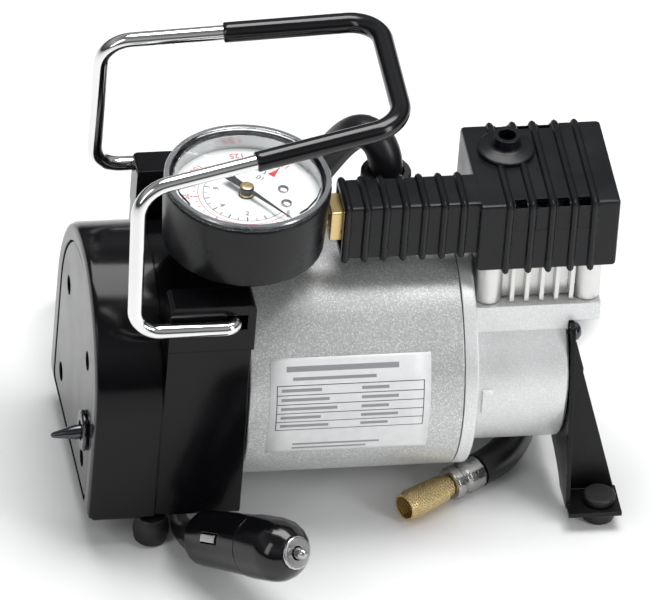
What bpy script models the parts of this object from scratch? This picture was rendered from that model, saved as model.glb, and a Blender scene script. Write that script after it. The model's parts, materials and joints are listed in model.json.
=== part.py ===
"""A portable 12 V tyre inflator: a piston air pump on a direct-current motor.

Lengths are in millimetres until a mesh is made. The design frame has X along the motor axis,
starting at the rim of the rear housing, Y away from the toggle's side and Z up from the axis.
"""

import math

import bmesh
import bpy
from mathutils import Matrix, Vector

MM = 0.001
AXIS_HEIGHT = 47.5
LEVER_TIP = -12.6
BRACKET_END = 175.0
CENTRE_X = (LEVER_TIP + BRACKET_END) / 2
GROUND = -AXIS_HEIGHT
GAP = 0.3

# The rear housing and its panel.
HOUSING_HALF = 41.4
HOUSING_ARCH = 2.3
HOUSING_FLOOR = -37.7
RING_END = 20.5
HOUSING_END = 48.7
EAR_INNER = 30.9
EAR_TOP = 49.8
PANEL_HALF = 33.5
PANEL_ARCH = 4.5
PANEL_FLOOR = -35.0
PANEL_SCREWS = ((-20.0, 13.0), (20.0, 13.0), (-22.5, -25.0), (22.5, -25.0))
SWITCH = (-25.0, -11.7)

# The motor.
TUBE_R = 41.1
TUBE_START = 49.2
TUBE_END = 120.1
NECK_R = 35.0
SHAFT_R = 4.0
BORE_R = SHAFT_R + GAP
CORE_R = 28.5
CORE_SLOTS = 12

# The pump.
CRANK_Z = -4.4
CRANK_R = 30.2
PUMP_START = TUBE_END + GAP
CRANK_END = 156.9
CYLINDER_X = 142.0
CYLINDER_BORE = 12.0
DECK_Z = 27.9
DECK_HALF = 20.6
THROW = 6.0
WRIST_Z = 23.4

# The cover over the cylinder head and its arm.
COVER_X = (124.4, 170.6)
COVER_HALF = 21.7
COVER_Z = (44.3, 70.4)
COVER_RIBS = (134.0, 141.5, 148.1, 155.4, 162.0)
ARM_START = 79.8
ARM_Y = (-19.6, -3.2)
ARM_FLOOR = 50.2
ARM_RIBS = 7
ARM_RIB_STEP = 6.35
RIB_HALF = 1.35
RIB_PROUD = 1.2
WALL = 1.5
AIR_Y = -11.4
AIR_Z = 60.6

# The pressure gauge.
GAUGE = (48.6, AIR_Y)
GAUGE_R = 27.5
DIAL_Z = 72.2
NEEDLE_REST = math.radians(-53.6)

# The carrying handle.
HANDLE_AXIS = (42.2, 43.2)
WIRE_R = 2.5
WIRE_HALF = 44.2
GRIP_R = 3.4

# The feet.
FOOT_Y = 37.9
REAR_FOOT_X = 20.3
FRONT_FOOT_X = 168.5
TAB_TOP = -40.75
TAB_FLOOR = -42.25

# The air hose and its chuck, which lie on the ground.
HOSE_R = 5.65
CHUCK_POINT = (124.9, -22.7, -41.75)
CHUCK_AXIS = (-0.841, -0.541, 0.0)

# The power cord: it lies coiled, and its plug leans on its own tail.
CORD_R = 2.5
COIL = (143.0, 80.4)
COIL_MEAN_R = 27.0
COIL_COLUMNS = 4
COIL_ROWS = 4
PLUG_START = (34.5, -50.2, -38.2)
PLUG_AXIS = (0.497, -0.746, 0.433)
PLUG_CONTACT_SIDE = (-0.838, -0.314, 0.445)

BLACK_GLOSS = ((0.012, 0.012, 0.013), 0.22, 0.0)
BLACK_SATIN = ((0.022, 0.023, 0.026), 0.45, 0.0)
SILVER = ((0.60, 0.61, 0.62), 0.38, 0.7)
OFF_WHITE = ((0.75, 0.77, 0.76), 0.5, 0.2)
ALUMINIUM = ((0.72, 0.73, 0.72), 0.4, 0.9)
STEEL = ((0.5, 0.5, 0.5), 0.3, 1.0)
CHROME = ((0.85, 0.85, 0.86), 0.08, 1.0)
BRASS = ((0.72, 0.52, 0.22), 0.28, 1.0)
COPPER = ((0.72, 0.34, 0.17), 0.35, 1.0)
FERRITE = ((0.06, 0.06, 0.065), 0.7, 0.0)
RUBBER = ((0.02, 0.02, 0.021), 0.7, 0.0)
WHITE = ((0.85, 0.85, 0.83), 0.5, 0.0)
CLEAR = ((0.9, 0.95, 0.96), 0.05, 0.0)


def clear_scene():
    for old in list(bpy.data.objects):
        bpy.data.objects.remove(old, do_unlink=True)


def make_base():
    """The empty that carries every piece from the design frame to the ground under its middle."""
    base = bpy.data.objects.new("base", None)
    base.location = (-CENTRE_X * MM, 0.0, AXIS_HEIGHT * MM)
    bpy.context.scene.collection.objects.link(base)
    return base


def material(name, finish):
    colour, roughness, metallic = finish
    made = bpy.data.materials.new(name)
    made.use_nodes = True
    shader = made.node_tree.nodes["Principled BSDF"]
    shader.inputs["Base Color"].default_value = (*colour, 1.0)
    shader.inputs["Roughness"].default_value = roughness
    shader.inputs["Metallic"].default_value = metallic
    return made


def place(obj, origin, turn=None):
    obj.parent = BASE
    obj.location = Vector(origin) * MM
    if turn is not None:
        obj.rotation_mode = "QUATERNION"
        obj.rotation_quaternion = turn
    bpy.context.scene.collection.objects.link(obj)
    return obj


def add(name, shape, finish=None, origin=(0.0, 0.0, 0.0), turn=None):
    """A mesh object from a bmesh in the design frame, or in its own frame if it is turned."""
    if turn is None:
        bmesh.ops.translate(shape, verts=shape.verts, vec=-Vector(origin))
    bmesh.ops.recalc_face_normals(shape, faces=shape.faces)
    bmesh.ops.scale(shape, verts=shape.verts, vec=(MM, MM, MM))
    mesh = bpy.data.meshes.new(name)
    shape.to_mesh(mesh)
    shape.free()
    mesh.shade_smooth()
    mesh.set_sharp_from_angle(angle=math.radians(35))
    obj = bpy.data.objects.new(name, mesh)
    if finish is None:
        obj.hide_render = True
        obj.display_type = "WIRE"
    else:
        mesh.materials.append(material(name, finish))
    return place(obj, origin, turn)


def combine(target, operation, shapes):
    """Joins or cuts bmesh shapes, in order, with Boolean modifiers."""
    for shape in shapes:
        number = len(target.modifiers)
        tool = add(f"{target.name}_tool_{number}", shape)
        step = target.modifiers.new(f"{operation.lower()}_{number}", "BOOLEAN")
        step.operation = operation
        step.object = tool


def join(target, *shapes):
    combine(target, "UNION", shapes)


def cut(target, *shapes):
    combine(target, "DIFFERENCE", shapes)


def merged(shapes):
    """One bmesh holding several separate shapes, for a cutter."""
    whole = bmesh.new()
    for shape in shapes:
        scratch = bpy.data.meshes.new("scratch")
        shape.to_mesh(scratch)
        shape.free()
        whole.from_mesh(scratch)
        bpy.data.meshes.remove(scratch)
    return whole


def loft(rings, closed=False):
    """A skin through rings of equally many points, capped at both ends or closed on itself."""
    bm = bmesh.new()
    rows = [[bm.verts.new(point) for point in ring] for ring in rings]
    count = len(rows[0])
    pairs = list(zip(rows, rows[1:]))
    if closed:
        pairs.append((rows[-1], rows[0]))
    for low, high in pairs:
        for i in range(count):
            j = (i + 1) % count
            bm.faces.new((low[i], low[j], high[j], high[i]))
    if not closed:
        bm.faces.new(rows[0])
        bm.faces.new(rows[-1])
    bmesh.ops.recalc_face_normals(bm, faces=bm.faces)
    return bm


def axes_point(axis, along, first, second):
    """A point from its place along an axis and its two other coordinates, in X, Y, Z order."""
    if axis == "X":
        return (along, first, second)
    if axis == "Y":
        return (first, along, second)
    return (first, second, along)


def prism(outline, axis, low, high):
    """An outline of the two other coordinates, extruded along an axis."""
    return loft([[axes_point(axis, at, *point) for point in outline] for at in (low, high)])


def box(low, high):
    x0, y0, z0 = low
    x1, y1, z1 = high
    return prism([(x0, y0), (x1, y0), (x1, y1), (x0, y1)], "Z", z0, z1)


def turned(profile, axis, centre=(0.0, 0.0), steps=20):
    """A solid of revolution. Its profile is (along, radius) points, closed on itself or on the axis."""
    bm = bmesh.new()
    rings = []
    for along, radius in profile:
        angles = [math.tau * k / steps for k in range(steps if radius else 1)]
        rings.append([
            bm.verts.new(axes_point(
                axis, along, centre[0] + radius * math.cos(a), centre[1] + radius * math.sin(a)
            ))
            for a in angles
        ])
    pairs = list(zip(rings, rings[1:]))
    if profile[0][1]:
        pairs.append((rings[-1], rings[0]))
    for low, high in pairs:
        for i in range(steps):
            j = (i + 1) % steps
            corners = [low[i % len(low)], low[j % len(low)], high[j % len(high)], high[i % len(high)]]
            corners = list(dict.fromkeys(corners))
            if len(corners) > 2:
                bm.faces.new(corners)
    bmesh.ops.recalc_face_normals(bm, faces=bm.faces)
    return bm


def rod(axis, low, high, radius, centre=(0.0, 0.0), steps=12):
    return turned([(low, 0.0), (low, radius), (high, radius), (high, 0.0)], axis, centre, steps)


def tube(axis, low, high, inner, outer, centre=(0.0, 0.0), steps=20):
    return turned([(low, inner), (low, outer), (high, outer), (high, inner)], axis, centre, steps)


def arch_loft(half, centre, floor, sections):
    """Arch outlines of given insets, one after another along X."""
    return loft([
        [(x, y, z) for y, z in arch_outline(half, centre, floor, inset)] for x, inset in sections
    ])


def arch_outline(half, centre, floor, inset):
    """The arch outline in one turning sense: up the right side, over the top and back."""
    half -= inset
    floor += inset
    corner = 2.5
    steps = 24
    quarter = (0.0, math.pi / 4, math.pi / 2)
    right = [
        (half - corner * (1 - math.sin(a)), floor + corner * (1 - math.cos(a))) for a in quarter
    ]
    top = [
        (half * math.cos(math.pi * k / steps), centre + half * math.sin(math.pi * k / steps))
        for k in range(steps + 1)
    ]
    left = [(-y, z) for y, z in reversed(right)]
    return right + top + left


def frames(points):
    """A direction and two side vectors at each point of a path, without twist."""
    found = []
    side = None
    for i, point in enumerate(points):
        ahead = points[min(i + 1, len(points) - 1)]
        behind = points[max(i - 1, 0)]
        along = (ahead - behind).normalized()
        if side is None:
            side = along.orthogonal().normalized()
        side = (side - along * side.dot(along)).normalized()
        found.append((point, side, along.cross(side)))
    return found


def sweep(points, radius, sides=12, inner=0.0):
    """A round rod along a path, or a tube where it has an inner radius. Radii may vary."""
    points = [Vector(point) for point in points]
    radii = radius if isinstance(radius, (list, tuple)) else [radius] * len(points)
    angles = [math.tau * k / sides for k in range(sides)]

    def ring(frame, size):
        point, side, up = frame
        return [point + size * (math.cos(a) * side + math.sin(a) * up) for a in angles]

    path = frames(points)
    outer = [ring(frame, size) for frame, size in zip(path, radii)]
    if not inner:
        return loft(outer)
    return loft(outer + [ring(frame, inner) for frame in reversed(path)], closed=True)


def rounded_path(corners, radii, steps=4):
    """A polyline whose inner corners are rounded with arcs of the given radii."""
    corners = [Vector(corner) for corner in corners]
    path = [corners[0]]
    for before, corner, after, radius in zip(corners, corners[1:], corners[2:], radii):
        back = (before - corner).normalized()
        on = (after - corner).normalized()
        half_angle = back.angle(on) / 2
        reach = radius / math.tan(half_angle)
        centre = corner + (back + on).normalized() * (radius / math.sin(half_angle))
        start = corner + back * reach - centre
        end = corner + on * reach - centre
        sweep_angle = start.angle(end)
        for k in range(steps + 1):
            share = k / steps
            turn = (
                math.sin((1 - share) * sweep_angle) * start + math.sin(share * sweep_angle) * end
            )
            path.append(centre + turn / math.sin(sweep_angle))
    path.append(corners[-1])
    return path


def smooth_path(points, spacing):
    """Evenly spaced points read from a smooth curve (Catmull-Rom) through the route's points."""
    points = [Vector(point) for point in points]
    ends = [2 * points[0] - points[1]] + points + [2 * points[-1] - points[-2]]
    fine = []
    for a, b, c, d in zip(ends, ends[1:], ends[2:], ends[3:]):
        for k in range(24):
            t = k / 24
            fine.append(0.5 * (
                2 * b + (c - a) * t + (2 * a - 5 * b + 4 * c - d) * t * t
                + (3 * b - a - 3 * c + d) * t ** 3
            ))
    fine.append(points[-1])
    length = sum((b - a).length for a, b in zip(fine, fine[1:]))
    count = max(2, round(length / spacing))
    kept = [fine[0]]
    walked = 0.0
    for a, b in zip(fine, fine[1:]):
        walked += (b - a).length
        if walked >= length * len(kept) / count and len(kept) < count:
            kept.append(b)
    kept.append(fine[-1])
    return kept


def add_cord(name, route, radius, spacing, finish):
    """A cord's tube: a curve object with a round bevel and filled ends."""
    points = smooth_path(route, spacing)
    curve = bpy.data.curves.new(name, "CURVE")
    curve.dimensions = "3D"
    curve.bevel_depth = radius * MM
    curve.bevel_resolution = 2
    curve.use_fill_caps = True
    spline = curve.splines.new("POLY")
    spline.points.add(len(points) - 1)
    for knot, point in zip(spline.points, points):
        knot.co = (*(point * MM), 1.0)
    curve.materials.append(material(name, finish))
    return place(bpy.data.objects.new(name, curve), (0.0, 0.0, 0.0))


def axis_turn(direction, side=None):
    """The rotation that lays a piece's own Z along a direction, and its X towards a side."""
    along = Vector(direction).normalized()
    across = Vector(side) if side else along.orthogonal()
    across = (across - along * across.dot(along)).normalized()
    return Matrix((across, along.cross(across), along)).transposed().to_quaternion()


def mirrored(points):
    return [(x, -y, z) for x, y, z in points]


def make_rear_housing():
    sections = [(-1.5, 2.2), (-0.9, 0.7), (0.6, 0.0), (RING_END, 0.0), (RING_END + 0.1, 0.5),
                (HOUSING_END, 0.5)]
    shell = arch_loft(HOUSING_HALF, HOUSING_ARCH, HOUSING_FLOOR, sections)
    housing = add("rear_housing", shell, BLACK_GLOSS)
    for side in (-1, 1):
        column = sorted((side * (EAR_INNER + 0.2), side * (HOUSING_HALF - 0.7)))
        cap = sorted((side * EAR_INNER, side * HOUSING_HALF))
        join(
            housing,
            box((RING_END + 0.5, column[0], 0.0), (HOUSING_END - 0.4, column[1], 32.5)),
            prism(ear_cap_outline(), "Y", *cap),
        )
    cut(
        housing,
        arch_loft(PANEL_HALF + GAP, PANEL_ARCH, PANEL_FLOOR - GAP, [(-4.0, 0.0), (1.3, 0.0)]),
        arch_loft(31.5, PANEL_ARCH, -34.5, [(0.0, 0.0), (6.0, 0.0)]),
        arch_loft(36.8, HOUSING_ARCH, -34.6, [(5.0, 0.0), (26.9, 0.0)]),
        rod("X", 24.5, HOUSING_END + 3, NECK_R + GAP, steps=40),
        merged([
            box((39.3, -HOUSING_HALF - 3, 40.2), (46.3, -34.0, 46.0)),
            box((39.3, 34.0, 40.2), (46.3, HOUSING_HALF + 3, 46.0)),
            rod("Y", 30.0, 46.0, 4.4, (10.0, -24.0)),
        ]),
    )


def ear_cap_outline():
    """The ear's cap in X and Z, with its upper corners rounded."""
    x0, x1, z0, z1, r = RING_END + 0.3, HOUSING_END + 0.3, 31.6, EAR_TOP, 1.6
    quarter = [math.pi / 2 * k / 3 for k in range(4)]
    right = [(x1 - r + r * math.cos(a), z1 - r + r * math.sin(a)) for a in quarter]
    left = [(x0 + r - r * math.sin(a), z1 - r + r * math.cos(a)) for a in quarter]
    return [(x0, z0), (x1, z0)] + right + left


def make_rear_panel():
    sections = [(-1.3, 0.9), (-0.7, 0.0), (1.0, 0.0)]
    panel = add("rear_panel", arch_loft(PANEL_HALF, PANEL_ARCH, PANEL_FLOOR, sections), BLACK_GLOSS)
    join(panel, merged([rod("X", 0.5, 5.0, 4.6, at) for at in PANEL_SCREWS]))
    cut(
        panel,
        merged([rod("X", -3.0, 3.2, 3.3, at) for at in PANEL_SCREWS]),
        merged([rod("X", 3.0, 6.0, 1.5, at, 8) for at in PANEL_SCREWS]),
        rod("X", -3.0, 3.0, 5.2, SWITCH),
    )
    for number, at in enumerate(PANEL_SCREWS, 1):
        profile = [(0.9, 0.0), (1.1, 1.8), (1.6, 2.7), (2.9, 2.7), (2.9, 1.2), (12.0, 1.2),
                   (12.0, 0.0)]
        add(f"panel_screw_{number}", turned(profile, "X", at, 10), STEEL)


def make_switch():
    bezel = [(-3.0, 3.4), (-3.0, 6.2), (-2.5, 6.85), (-1.6, 6.85), (-1.6, 4.9), (3.0, 4.9),
             (3.0, 3.4)]
    add("switch_bezel", turned(bezel, "X", SWITCH, 16), STEEL)
    y, z = SWITCH
    body = add("switch_body", box((3.3, y - 6, z - 8), (14.0, y + 6, z + 8)), BLACK_SATIN)
    cut(body, rod("X", 2.0, 6.5, 3.0, SWITCH, 10))
    droop = math.radians(7)
    lever = [(0.0, 0.0), (0.0, 1.9), (1.5, 2.4), (5.5, 2.45), (9.5, 1.5), (12.3, 0.95),
             (13.0, 0.6), (13.2, 0.0)]
    direction = (-math.cos(droop), 0.0, -math.sin(droop))
    add("toggle_lever", turned(lever, "Z", steps=12), CHROME, (0.5, y, z), axis_turn(direction))


def make_motor_tube():
    profile = [(30.0, 33.0), (30.0, NECK_R), (TUBE_START, NECK_R), (TUBE_START, TUBE_R - 0.5),
               (TUBE_START + 0.5, TUBE_R), (TUBE_END, TUBE_R), (TUBE_END, 39.1), (51.0, 39.1),
               (51.0, 33.0)]
    add("motor_tube", turned(profile, "X", steps=48), SILVER)


def make_magnets():
    for name, middle in (("magnet_near", -90.0), ("magnet_far", 90.0)):
        angles = [math.radians(middle + spread) for spread in range(-60, 61, 10)]
        outer = [(38.6 * math.sin(a), 38.6 * math.cos(a)) for a in angles]
        inner = [(30.5 * math.sin(a), 30.5 * math.cos(a)) for a in reversed(angles)]
        add(name, prism(outer + inner, "X", 58.0, 112.0), FERRITE)


def core_ring(x, outer):
    """One end of the armature core: its slotted rim, or the matching points of its bore."""
    points = []
    for slot in range(CORE_SLOTS):
        for share, rim in ((0.0, CORE_R), (0.35, CORE_R), (0.7, CORE_R), (0.7, 19.0), (1.0, 19.0)):
            a = math.tau * (slot + share) / CORE_SLOTS
            radius = rim if outer else BORE_R
            if not outer and share in (0.7, 1.0) and rim == 19.0:
                a = math.tau * (slot + share - (0.1 if share == 1.0 else -0.1)) / CORE_SLOTS
            points.append((x, radius * math.cos(a), radius * math.sin(a)))
    return points


def make_rotor():
    add("motor_shaft", rod("X", 12.0, 133.0, SHAFT_R), STEEL)
    rings = [core_ring(66.0, True), core_ring(106.0, True), core_ring(106.0, False),
             core_ring(66.0, False)]
    add("armature_core", loft(rings, closed=True), STEEL)
    make_winding()
    commutator = [(34.0, BORE_R), (34.0, 11.5), (48.0, 11.5), (48.0, BORE_R)]
    add("commutator", turned(commutator, "X", steps=16), COPPER)
    make_fan()


def winding_end(start, end):
    profile = [(start, 6.0), (start, 20.0), (start + 2.5, 24.2), (end - 2.5, 25.0), (end, 22.5),
               (end, 6.0)]
    return turned(profile, "X", steps=16)


def make_winding():
    """Both coil heads and the wires between them, in every other slot of the core."""
    winding = add("armature_winding", winding_end(52.0, 65.6), COPPER)
    wires = []
    for slot in range(0, CORE_SLOTS, 2):
        middle = math.tau * (slot + 0.85) / CORE_SLOTS
        wire = box((65.0, 19.6, -1.1), (107.5, 22.2, 1.1))
        turn = Matrix.Rotation(middle, 3, "X")
        bmesh.ops.rotate(wire, verts=wire.verts, cent=(0.0, 0.0, 0.0), matrix=turn)
        wires.append(wire)
    join(winding, merged(wires), winding_end(106.4, 117.5))


def make_fan():
    fan = add("cooling_fan", tube("X", 14.5, 23.0, BORE_R, 9.0, steps=16), BLACK_SATIN)
    blades = []
    for k in range(6):
        blade = box((15.0, 8.6, -0.8), (22.5, 19.0, 0.8))
        turn = Matrix.Rotation(math.tau * k / 6, 3, "X")
        bmesh.ops.rotate(blade, verts=blade.verts, cent=(0.0, 0.0, 0.0), matrix=turn)
        blades.append(blade)
    join(fan, merged(blades))


def make_brush_gear():
    add("brush_holder", tube("X", 30.3, 35.7, 13.0, 32.7, steps=28), BLACK_SATIN)
    for name, side in (("brush_upper", 1), ("brush_lower", -1)):
        reach = sorted((side * 11.8, side * 22.0))
        add(name, box((36.0, -3.0, reach[0]), (46.0, 3.0, reach[1])), FERRITE)


def make_end_bell():
    bell = add("motor_end_bell", tube("X", 25.5, 29.7, 8.3, 34.8, steps=32), ALUMINIUM)
    join(bell, merged([rod("X", 5.3, 26.5, 3.4, at, 10) for at in PANEL_SCREWS]))
    windows = []
    for k in range(6):
        angles = [math.tau * k / 6 + math.radians(spread) for spread in (-16, 0, 16)]
        outline = [(23.0 * math.cos(a), 23.0 * math.sin(a)) for a in angles]
        outline += [(14.0 * math.cos(a), 14.0 * math.sin(a)) for a in reversed(angles)]
        windows.append(prism(outline, "X", 24.0, 31.0))
    cut(
        bell,
        merged([rod("X", 4.0, 14.0, 1.5, at, 8) for at in PANEL_SCREWS]),
        merged(windows),
    )
    add("rear_bearing", tube("X", 25.8, 29.4, BORE_R, 8.0, steps=16), STEEL)
    add("front_bearing", tube("X", 121.5, 126.5, BORE_R, 9.0, steps=16), STEEL)


def make_crankcase():
    flange = [(PUMP_START, 0.0), (PUMP_START, TUBE_R), (124.5, TUBE_R), (124.9, TUBE_R - 0.4),
              (124.9, 0.0)]
    case = add("crankcase", turned(flange, "X", steps=48), OFF_WHITE)
    deck = [(124.2, 0.0), (CRANK_END, 0.0), (CRANK_END, 20.9), (166.6, 20.9), (167.0, 21.3),
            (167.0, DECK_Z), (124.2, DECK_Z)]
    wall = [(124.0, 0.0), (124.0, CRANK_R), (CRANK_END - 0.8, CRANK_R), (CRANK_END, CRANK_R - 0.8),
            (CRANK_END, 0.0)]
    join(
        case,
        turned(wall, "X", (0.0, CRANK_Z), 40),
        prism(deck, "Y", -DECK_HALF, DECK_HALF),
        box((128.2, -31.3, -8.0), (131.8, -26.5, 0.8)),
    )
    holes = [rod("X", 149.0, 158.5, 1.5, (side * 20.0, 16.0), 8) for side in (-1, 1)]
    cut(
        case,
        rod("X", 127.5, 153.9, 26.2, (0.0, CRANK_Z), 28),
        rod("X", PUMP_START - 2, 128.5, 9.3, steps=20),
        rod("Z", 15.0, DECK_Z + 2, CYLINDER_BORE + 0.2, (CYLINDER_X, 0.0), 20),
        merged(holes),
    )


def make_crank():
    wheel = add("crank_wheel", rod("X", 130.5, 136.0, 13.0, steps=20), STEEL)
    join(wheel, rod("X", 135.0, 146.0, 3.0, (THROW, 0.0), 12))
    cut(wheel, rod("X", 129.0, 133.3, BORE_R))
    pin = (CYLINDER_X, THROW, 0.0)
    rod_body = add("con_rod", tube("X", 138.0, 145.0, 3.4, 6.5, (THROW, 0.0), 14), ALUMINIUM, pin)
    join(
        rod_body,
        box((139.5, THROW - 2.0, 5.2), (144.0, THROW + 2.0, 22.0)),
        rod("X", 139.2, 144.3, 2.8, (THROW, WRIST_Z)),
    )
    cut(rod_body, rod("X", 137.0, 147.0, 1.4, (THROW, WRIST_Z), 10))


def make_piston():
    at = (CYLINDER_X, 0.0)
    profile = [(40.5, 0.0), (40.5, 11.3), (40.1, 11.7), (39.6, 11.7), (39.6, 11.2), (38.0, 11.2),
               (38.0, 11.7), (31.0, 11.7), (31.0, 10.2), (38.9, 10.2), (38.9, 0.0)]
    add("piston", turned(profile, "Z", at, 20), ALUMINIUM, (CYLINDER_X, 0.0, 40.5))


def make_cylinder():
    """A bare casting: four round corner columns and thin upright fins round a liner."""
    low, high = DECK_Z + GAP, 47.0
    barrel = add("cylinder", rod("Z", low, high, 14.6, (CYLINDER_X, 0.0), 28), ALUMINIUM)
    columns = [
        rod("Z", low, high, 4.4, (x, side * 15.1), 16) for x in (130.4, 162.9) for side in (-1, 1)
    ]
    fins = [
        box((x - 0.8, side * 18.9, low), (x + 0.8, side * 4.0, high))
        if side < 0 else box((x - 0.8, side * 4.0, low), (x + 0.8, side * 18.9, high))
        for x in (137.7, 142.6, 147.5, 152.4, 157.3) for side in (-1, 1)
    ]
    join(
        barrel,
        box((130.4, -15.5, low), (162.9, 15.5, high)),
        merged(columns),
        merged(fins),
    )
    cut(barrel, rod("Z", low - 2, high + 2, CYLINDER_BORE, (CYLINDER_X, 0.0), 20))


def make_valve_gear():
    plate = box((127.0, -19.3, 47.3), (166.6, 19.3, 49.3))
    valve_plate = add("valve_plate", plate, STEEL)
    cut(valve_plate, merged([
        rod("Z", 46.0, 51.0, 2.0, (CYLINDER_X - 4.5, 0.0), 8),
        rod("Z", 46.0, 51.0, 2.0, (CYLINDER_X + 4.5, 0.0), 8),
    ]))
    head = add("cylinder_head", box((127.4, -19.0, 49.6), (166.2, 19.0, 63.9)), ALUMINIUM)
    join(head, rod("X", 90.3, 129.0, 3.0, (AIR_Y, AIR_Z), 16))
    cut(
        head,
        box((136.0, -8.0, 48.0), (153.0, 8.0, 55.5)),
        merged([
            box((x - 1.5, -21.0, 58.0), (x + 1.5, 21.0, 66.0))
            for x in (133.0, 140.0, 147.0, 154.0, 161.0)
        ]),
    )


def rounded_rectangle(y0, y1, z0, z1, radius):
    """A rectangle in Y and Z with round upper corners."""
    points = [(y0, z0), (y1, z0)]
    for centre_y, start in ((y1 - radius, 0.0), (y0 + radius, math.pi / 2)):
        for k in range(3):
            a = start + math.pi / 4 * k
            points.append((centre_y + radius * math.cos(a), z1 - radius + radius * math.sin(a)))
    return points


def ribbed(x_range, y_range, z_range, ribs):
    """A box along X with rounded edges, swollen at each rib."""
    start, end = x_range
    steps = [(start, -1.2), (start + 0.35, -0.35), (start + 1.2, 0.0)]
    for x in ribs:
        steps += [(x - RIB_HALF, 0.0), (x - 0.85, 0.85), (x, RIB_PROUD), (x + 0.85, 0.85),
                  (x + RIB_HALF, 0.0)]
    steps += [(end - 1.2, 0.0), (end - 0.35, -0.35), (end, -1.2)]
    rings = []
    for x, proud in steps:
        outline = rounded_rectangle(
            y_range[0] - proud, y_range[1] + proud, z_range[0] - proud, z_range[1] + proud,
            1.5 + proud,
        )
        rings.append([(x, y, z) for y, z in outline])
    return loft(rings)


def arm_shape():
    """The arm that covers the outlet: its first rib is its rounded open end."""
    steps = [(ARM_START, 0.3), (ARM_START + 0.5, 0.9), (ARM_START + 1.3, RIB_PROUD),
             (ARM_START + 2.15, 0.85), (ARM_START + 2.65, 0.0)]
    for k in range(1, ARM_RIBS):
        x = ARM_START + 1.3 + ARM_RIB_STEP * k
        steps += [(x - RIB_HALF, 0.0), (x - 0.85, 0.85), (x, RIB_PROUD), (x + 0.85, 0.85),
                  (x + RIB_HALF, 0.0)]
    steps.append((COVER_X[0] + 1.0, 0.0))
    rings = []
    for x, proud in steps:
        outline = rounded_rectangle(
            ARM_Y[0] - proud, ARM_Y[1] + proud, ARM_FLOOR - proud, COVER_Z[1] + proud, 1.5 + proud
        )
        rings.append([(x, y, z) for y, z in outline])
    return loft(rings)


def make_head_cover():
    whole = ribbed(COVER_X, (-COVER_HALF, COVER_HALF), COVER_Z, COVER_RIBS)
    cover = add("head_cover", whole, BLACK_SATIN)
    top = COVER_Z[1]
    nozzle = [(top - 1, 0.0), (top - 1, 9.3), (71.9, 9.3), (72.5, 8.6), (73.0, 5.6), (73.8, 4.8),
              (77.2, 4.4), (77.2, 0.0)]
    join(cover, arm_shape(), turned(nozzle, "Z", (137.1, 7.2), 24))
    inner_top = top - WALL
    vents = []
    for left, right in zip(COVER_RIBS, COVER_RIBS[1:]):
        for edge in (-20.0, 20.0):
            middle = (left + right) / 2
            vents.append(box((middle - 1.9, edge - 1.6, 60.0), (middle + 1.9, edge + 1.6, top + 3)))
    cut(
        cover,
        box((COVER_X[0] + WALL, -20.2, 40.0), (COVER_X[1] - WALL, 20.2, inner_top)),
        box((ARM_START - 2, ARM_Y[0] + WALL, ARM_FLOOR + WALL),
            (COVER_X[0] + 4, ARM_Y[1] - WALL, inner_top)),
        rod("Z", inner_top - 3, 80.0, 2.9, (137.1, 7.2), 16),
        merged(vents[:7]),
        rod("Y", ARM_Y[1] - 3, 2.0, 4.9, (98.0, AIR_Z), 14),
    )


def make_air_line():
    tee = [(-16.9, 55.6), (-5.9, 55.6), (-5.9, 66.9), (-16.9, 66.9)]
    add("brass_tee", prism(tee, "X", 76.0, 90.0), BRASS)
    joint = [(-5.6, 0.0), (-5.6, 4.5), (0.3, 4.5), (0.3, 0.0)]
    boot = [(52.0, 0.0), (52.0, 7.6), (52.8, 8.3), (64.6, 8.3), (65.2, 7.8), (65.2, 5.95),
            (57.0, 5.95), (57.0, 0.0)]
    fitting = add("hose_fitting", turned(boot, "Z", (98.0, 7.0), 20), RUBBER)
    join(fitting, turned(joint, "Y", (98.0, AIR_Z), 14))


def make_gauge():
    x, y = GAUGE
    case = [(54.0, 0.0), (54.0, 25.4), (54.9, 26.3), (76.6, GAUGE_R), (77.5, GAUGE_R - 0.4),
            (77.5, GAUGE_R - 1.6), (71.6, GAUGE_R - 1.9), (71.6, 24.6), (56.0, 24.6), (56.0, 0.0)]
    shell = add("gauge_case", turned(case, "Z", GAUGE, 36), BLACK_SATIN)
    cut(shell, rod("X", x + 20, x + 32, 3.4, (y, AIR_Z + 0.6), 12))
    arc = [(x + 17.0 * math.cos(a), y + 17.0 * math.sin(a), AIR_Z + 0.6)
           for a in (math.radians(25 * k) for k in range(11))]
    bourdon = add("bourdon_tube", sweep(arc, 2.0, 8), COPPER)
    join(bourdon, rod("X", x + 15.5, 75.7, 3.0, (y, AIR_Z + 0.6), 12))
    dial = tube("Z", DIAL_Z - 0.5, DIAL_Z, 2.6, 24.9, GAUGE, 32)
    add("gauge_dial", dial, WHITE)
    make_needle()
    lens = [(77.8, 0.0), (77.8, 27.3), (79.3, 27.3), (79.5, 25.2), (80.8, 24.8), (80.8, 0.0)]
    cavity = [(77.0, 0.0), (77.0, 24.0), (79.2, 24.0), (79.2, 0.0)]
    glass = add("gauge_lens", turned(lens, "Z", GAUGE, 36), CLEAR)
    cut(glass, turned(cavity, "Z", GAUGE, 24))


def make_needle():
    """A thin pointer with a tail, drawn pointing along its own X and turned to rest."""
    outline = [(20.4, 0.0), (2.0, 0.75), (-9.0, 1.5), (-9.0, -1.5), (2.0, -0.75)]
    hub = [(60.0, 0.0), (60.0, 4.0), (62.0, 4.0), (62.0, 1.2), (73.6, 1.2), (73.6, 2.4),
           (75.3, 2.4), (75.6, 2.0), (75.6, 0.0)]
    turn = Matrix.Rotation(NEEDLE_REST, 4, "Z").to_quaternion()
    flat = prism(outline, "Z", -0.25, 0.25)
    needle = add("gauge_needle", flat, BLACK_SATIN, (*GAUGE, 74.6), turn)
    join(needle, turned(hub, "Z", GAUGE, 12))


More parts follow.
